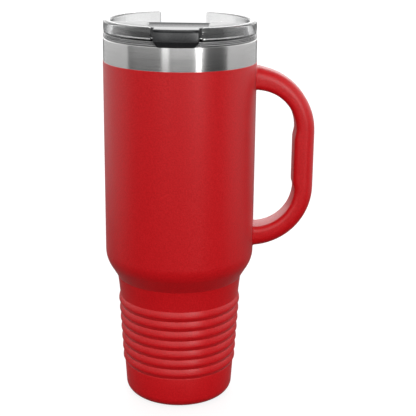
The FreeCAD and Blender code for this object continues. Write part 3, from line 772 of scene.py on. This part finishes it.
def clear_look():
    """Clear moulded plastic: smoky in long paths, with painted shade that darkens it where seen edge-on in
    place of dark refracted outlines, and a satin seat flange.
    """
    look = Look("clear_plastic", IOR=1.52)
    clarity = look.clear_inside(FLANGE_R - SATIN_DEEP, FLANGE_R - SATIN_SHALLOW)
    look.feed("Transmission Weight", clarity)
    graze = look.nodes.new("ShaderNodeLayerWeight")
    graze.inputs["Blend"].default_value = 0.5
    # painted shade: the base colour darkens where the surface is seen edge-on, standing in for the dark
    # refracted outlines along the rim's edges
    edge = look.between(graze.outputs["Facing"], 0, 1, 0.32, 0.74)
    look.feed("Base Color", look.mixed(clarity, GLASS_SATIN, look.mixed(edge, GLASS, GLASS_PAINTED_EDGE_SHADE)))
    smoke = look.nodes.new("ShaderNodeVolumeAbsorption")
    smoke.inputs["Color"].default_value = SMOKE_COLOUR
    smoke.inputs["Density"].default_value = SMOKE
    look.links.new(smoke.outputs["Volume"], look.nodes["Material Output"].inputs["Volume"])
    look.feed("Roughness", look.between(look.noise(900), 0.015, 0.05))
    look.bump(look.noise(26), 0.0006, 0.25)
    return look.material


def grey_look():
    """Dark grey moulded plastic of the flap, with a fine grain."""
    look = Look("grey_plastic", IOR=1.48, Specular_IOR_Level=0.62)
    grain = look.noise(2600, 2.0)
    cloud = look.noise(60, 2.0)
    look.feed("Base Color", look.mixed(look.between(cloud, 0, 1), *GREYS))
    look.feed("Roughness", look.between(grain, 0.23, 0.33))
    look.bump(grain, 0.00003, 0.4)
    return look.material


def silicone_look():
    """Pale translucent silicone of the gasket and the two plugs."""
    look = Look("silicone", Subsurface_Weight=0.35, Subsurface_Scale=0.002, IOR=1.41)
    grain = look.noise(1200, 2.0)
    look.feed("Base Color", look.mixed(look.between(grain, 0, 1), *SILICONES))
    look.feed("Roughness", look.between(grain, 0.42, 0.55))
    look.bump(grain, 0.00002, 0.3)
    return look.material


def getter_look():
    """Dull sintered metal of the getter tablet."""
    look = Look("getter_metal", Metallic=0.8)
    grain = look.noise(2200, 4.0)
    look.feed("Base Color", look.mixed(look.between(grain, 0, 1), *GETTER_GREYS))
    look.feed("Roughness", look.between(grain, 0.6, 0.85))
    look.bump(grain, 0.0001, 0.6)
    return look.material


def bead_look():
    """Greenish solder glass of the vacuum bead."""
    look = Look("solder_glass", IOR=1.6)
    swirl = look.noise(700, 3.0)
    look.feed("Base Color", look.mixed(look.between(swirl, 0, 1), *BEAD_GREENS))
    look.feed("Roughness", look.between(swirl, 0.08, 0.2))
    look.bump(swirl, 0.00005, 0.3)
    return look.material


def floor_look():
    """Pale floor: near white to the eye and through the clear lid, but it throws little light back."""
    look = Look("studio_floor", Specular_IOR_Level=0.1)
    path = look.nodes.new("ShaderNodeLightPath")
    seen = look.nodes.new("ShaderNodeMath")
    seen.operation = "MULTIPLY_ADD"
    seen.inputs[1].default_value = FLOOR_THROUGH
    look.links.new(path.outputs["Is Transmission Ray"], seen.inputs[0])
    look.links.new(path.outputs["Is Camera Ray"], seen.inputs[2])
    cloud = look.noise(3.0, 2.0)
    pale = look.mixed(look.between(cloud, 0, 1), *FLOOR_GREYS)
    look.feed("Base Color", look.mixed(seen.outputs[0], (FLOOR_BOUNCE,) * 3, pale))
    look.feed("Roughness", look.between(cloud, 0.6, 0.7))
    look.feed("Emission Color", look.mixed(seen.outputs[0], (0.0, 0.0, 0.0), (FLOOR_GLOW,) * 3))
    look.shader.inputs["Emission Strength"].default_value = 1.0
    return look.material


# ---- studio ----
def studio_floor():
    """Square floor that is wide enough to reach the horizon in every view."""
    corners = [(-1, -1), (1, -1), (1, 1), (-1, 1)]
    mesh = mesh_from("floor", [(x * FLOOR_REACH, y * FLOOR_REACH, 0) for x, y in corners], [[0, 1, 2, 3]])
    floor = new_object("floor", mesh)
    floor.data.materials.append(floor_look())


def level_ramp(nodes, links, position, stops):
    """Grey colour ramp through (position, level) stops; its output is the level divided by PEAK."""
    ramp = nodes.new("ShaderNodeValToRGB")
    links.new(position, ramp.inputs["Fac"])
    elements = ramp.color_ramp.elements
    while len(elements) < len(stops):
        elements.new(0.5)
    for element, (place_on_ramp, level) in zip(elements, stops):
        element.position = place_on_ramp
        element.color = (*(level / PEAK,) * 3, 1)
    return ramp.outputs["Color"]


def room_bearing(nodes, links, parts):
    """Compass bearing of a direction: 0 and 1 behind, 0.5 in front."""
    flip = nodes.new("ShaderNodeMath")
    flip.operation = "MULTIPLY"
    flip.inputs[1].default_value = -1.0
    links.new(parts.outputs["Y"], flip.inputs[0])
    bearing = nodes.new("ShaderNodeMath")
    bearing.operation = "ARCTAN2"
    links.new(parts.outputs["X"], bearing.inputs[0])
    links.new(flip.outputs[0], bearing.inputs[1])
    share = nodes.new("ShaderNodeMapRange")
    share.inputs["From Min"].default_value = -math.pi
    share.inputs["From Max"].default_value = math.pi
    links.new(bearing.outputs[0], share.inputs["Value"])
    return share.outputs["Result"]


def colour_mix(nodes, links, factor, first, second, blend="MIX"):
    """Mix node of two colours; a colour is an output or a fixed grey level."""
    mix = nodes.new("ShaderNodeMix")
    mix.data_type, mix.blend_type = "RGBA", blend
    for label, value in (("Factor", factor), ("A", first), ("B", second)):
        socket = mix.inputs[label]
        if not isinstance(value, float):
            links.new(value, socket)
        elif socket.type == "RGBA":
            socket.default_value = (value, value, value, 1)
        else:
            socket.default_value = value
    return mix.outputs["Result"]


def studio_world():
    """Soft room: light back, lower side walls, a bright middle front and a dark gap on its right.

    The camera sees a plain white backdrop instead, and the clear lid a pale horizon under a dark ceiling.
    """
    world = bpy.data.worlds.new("studio")
    bpy.context.scene.world = world
    world.use_nodes = True
    nodes, links = world.node_tree.nodes, world.node_tree.links
    parts = nodes.new("ShaderNodeSeparateXYZ")
    links.new(nodes.new("ShaderNodeTexCoord").outputs["Generated"], parts.inputs["Vector"])
    rise = parts.outputs["Z"]
    walls = [((degrees + 180) / 360, level) for degrees, level in WALLS]
    around = level_ramp(nodes, links, room_bearing(nodes, links, parts), walls)
    room = colour_mix(nodes, links, 1.0, around, level_ramp(nodes, links, rise, HEIGHTS), "MULTIPLY")
    seen = [(height, level / PEAK) for height, level in THROUGH_LID]
    path = nodes.new("ShaderNodeLightPath")
    bent = colour_mix(nodes, links, path.outputs["Is Transmission Ray"], room,
                      level_ramp(nodes, links, rise, seen))
    shown = colour_mix(nodes, links, path.outputs["Is Camera Ray"], bent, BACKDROP / PEAK ** 2)
    background = nodes["Background"]
    links.new(shown, background.inputs["Color"])
    background.inputs["Strength"].default_value = PEAK ** 2


def soft_light(name, spot, aim, width, height, level):
    """Upright rectangular light of an even level, which the camera doesn't see."""
    data = bpy.data.lights.new(name, "AREA")
    data.shape = "RECTANGLE"
    data.size, data.size_y = width, height
    data.energy = level * math.pi * width * height
    light = bpy.data.objects.new(name, data)
    light.location = spot
    light.rotation_euler = (Vector(aim) - Vector(spot)).to_track_quat("-Z", "Y").to_euler()
    light.visible_camera = False
    bpy.context.scene.collection.objects.link(light)


def studio_lights():
    """Two tall strips in front and a broad panel on each side."""
    for name, (bearing, width, level) in STRIPS.items():
        side = math.radians(bearing)
        spot = (STRIP_AWAY * math.sin(side), -STRIP_AWAY * math.cos(side), STRIP_MIDDLE)
        soft_light(name, spot, (0, 0, STRIP_MIDDLE), width, STRIP_TALL, level)
    for side, front_y in PANEL_FRONT.items():
        middle, height = (PANEL_BACK + front_y) / 2, PANEL_TALL / 2
        spot = (side * PANEL_AWAY, middle, height)
        soft_light("side_panel", spot, (0, middle, height), PANEL_BACK - front_y, PANEL_TALL, PANEL_GLOW)


def camera():
    """Eye level a little above the lid, looking down on the mug and slightly past its axis."""
    pitch, yaw, roll = (math.radians(angle) for angle in (CAMERA_PITCH, CAMERA_YAW, CAMERA_ROLL))
    forward = Vector((math.sin(yaw) * math.cos(pitch), math.cos(yaw) * math.cos(pitch), -math.sin(pitch)))
    level = Vector((math.cos(yaw), -math.sin(yaw), 0.0))
    upward = level.cross(forward)
    right = math.cos(roll) * level + math.sin(roll) * upward
    up = math.cos(roll) * upward - math.sin(roll) * level
    data = bpy.data.cameras.new("camera")
    data.lens, data.sensor_width = CAMERA_LENS, CAMERA_SENSOR
    data.clip_start, data.clip_end = 0.01, 50.0
    obj = bpy.data.objects.new("camera", data)
    turn = Matrix((right, up, -forward)).transposed().to_4x4()
    obj.matrix_world = Matrix.Translation(CAMERA_PLACE) @ turn
    bpy.context.scene.collection.objects.link(obj)
    bpy.context.scene.camera = obj


# ---- assembly ----
def place(obj, body, slot, look, *nodes):
    """Gives a piece its material and body, and lets it stand in for the named CAD nodes."""
    obj.data.materials.clear()
    obj.data.materials.append(look)
    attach(obj, body)
    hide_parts(*nodes)


def dress(node, look):
    """Gives a carried CAD node its detailed material."""
    mesh = frame["nodes"][node].data
    mesh.materials.clear()
    mesh.materials.append(look)


steel = steel_look("brushed_steel", STEEL, 0.21, 3600, 0.88)
liner_steel = steel_look("liner_steel", LINER_STEEL, 0.34, 1400, 0.5)
pin_steel = steel_look("pin_steel", PIN_STEEL, 0.18, 6000, 0.3)
red = powder_look()
clear = clear_look()
grey = grey_look()
silicone = silicone_look()

place(outer_shell(), "cup", "steel", steel, "outer_shell")
place(inner_vessel(), "cup", "steel", liner_steel, "inner_vessel")
place(base_plate(), "cup", "steel", liner_steel, "base_plate")
place(powder_coat(), "cup", "coat", red, "powder_coat")
place(handle(), "cup", "coated_steel", red, "handle_left_half", "handle_right_half")
place(turned(lid()), "lid", "clear_plastic", clear, "lid_body")
place(turned(gasket()), "lid", "silicone", silicone, "lid_gasket")
place(turned(flap()), "flap", "grey_plastic", grey, "flap")
dress("port_cover", liner_steel)
dress("vacuum_seal", bead_look())
dress("vacuum_getter", getter_look())
dress("hinge_pins", pin_steel)
dress("drink_seal", silicone)
dress("vent_seal", silicone)

studio_floor()
studio_world()
studio_lights()
camera()
bpy.context.scene.view_settings.view_transform = "Standard"
bpy.context.scene.view_settings.look = "None"
